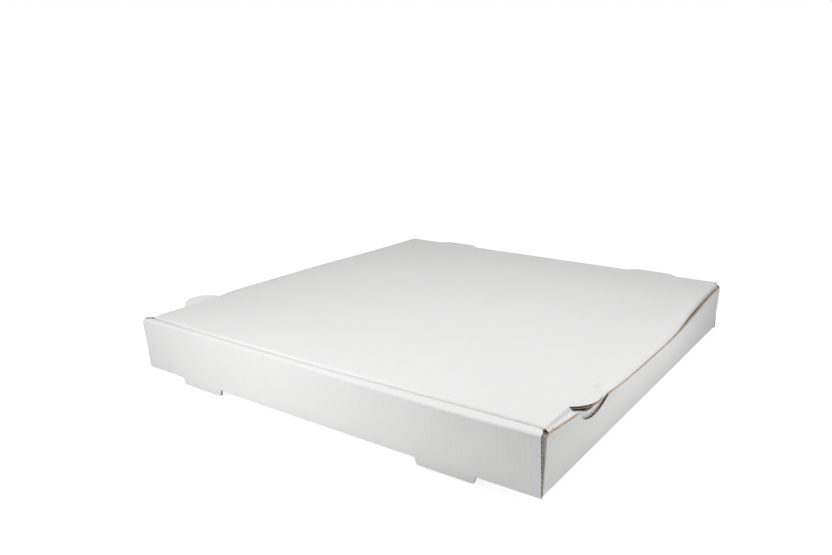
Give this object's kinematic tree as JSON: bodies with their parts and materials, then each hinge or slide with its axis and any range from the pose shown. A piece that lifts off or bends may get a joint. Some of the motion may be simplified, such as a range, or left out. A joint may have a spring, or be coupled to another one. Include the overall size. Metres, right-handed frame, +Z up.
{
  "type": "pizza box",
  "caption": "Flat square take-away pizza box folded from one sheet of white corrugated board, with a hinged tuck-in lid and half-moon finger grips.",
  "frame": {"origin": "on the surface the box stands on, below the middle of its base", "axes": "+X to the right of someone who faces the front wall, +Y from the front wall to the hinge at the back, +Z up"},
  "size_m": [0.3504, 0.3456, 0.0467],
  "materials": {
    "white_board": "matte"
  },
  "bodies": {
    "tray": {"tray": "white_board"},
    "lid": {"lid": "white_board"}
  },
  "joints": [
    {"name": "lid_hinge", "type": "hinge", "parent": "tray", "child": "lid", "pos_m": [0, 0.1677, 0.0459], "axis": [-1, 0, 0], "range_deg": [0, 180]}
  ]
}
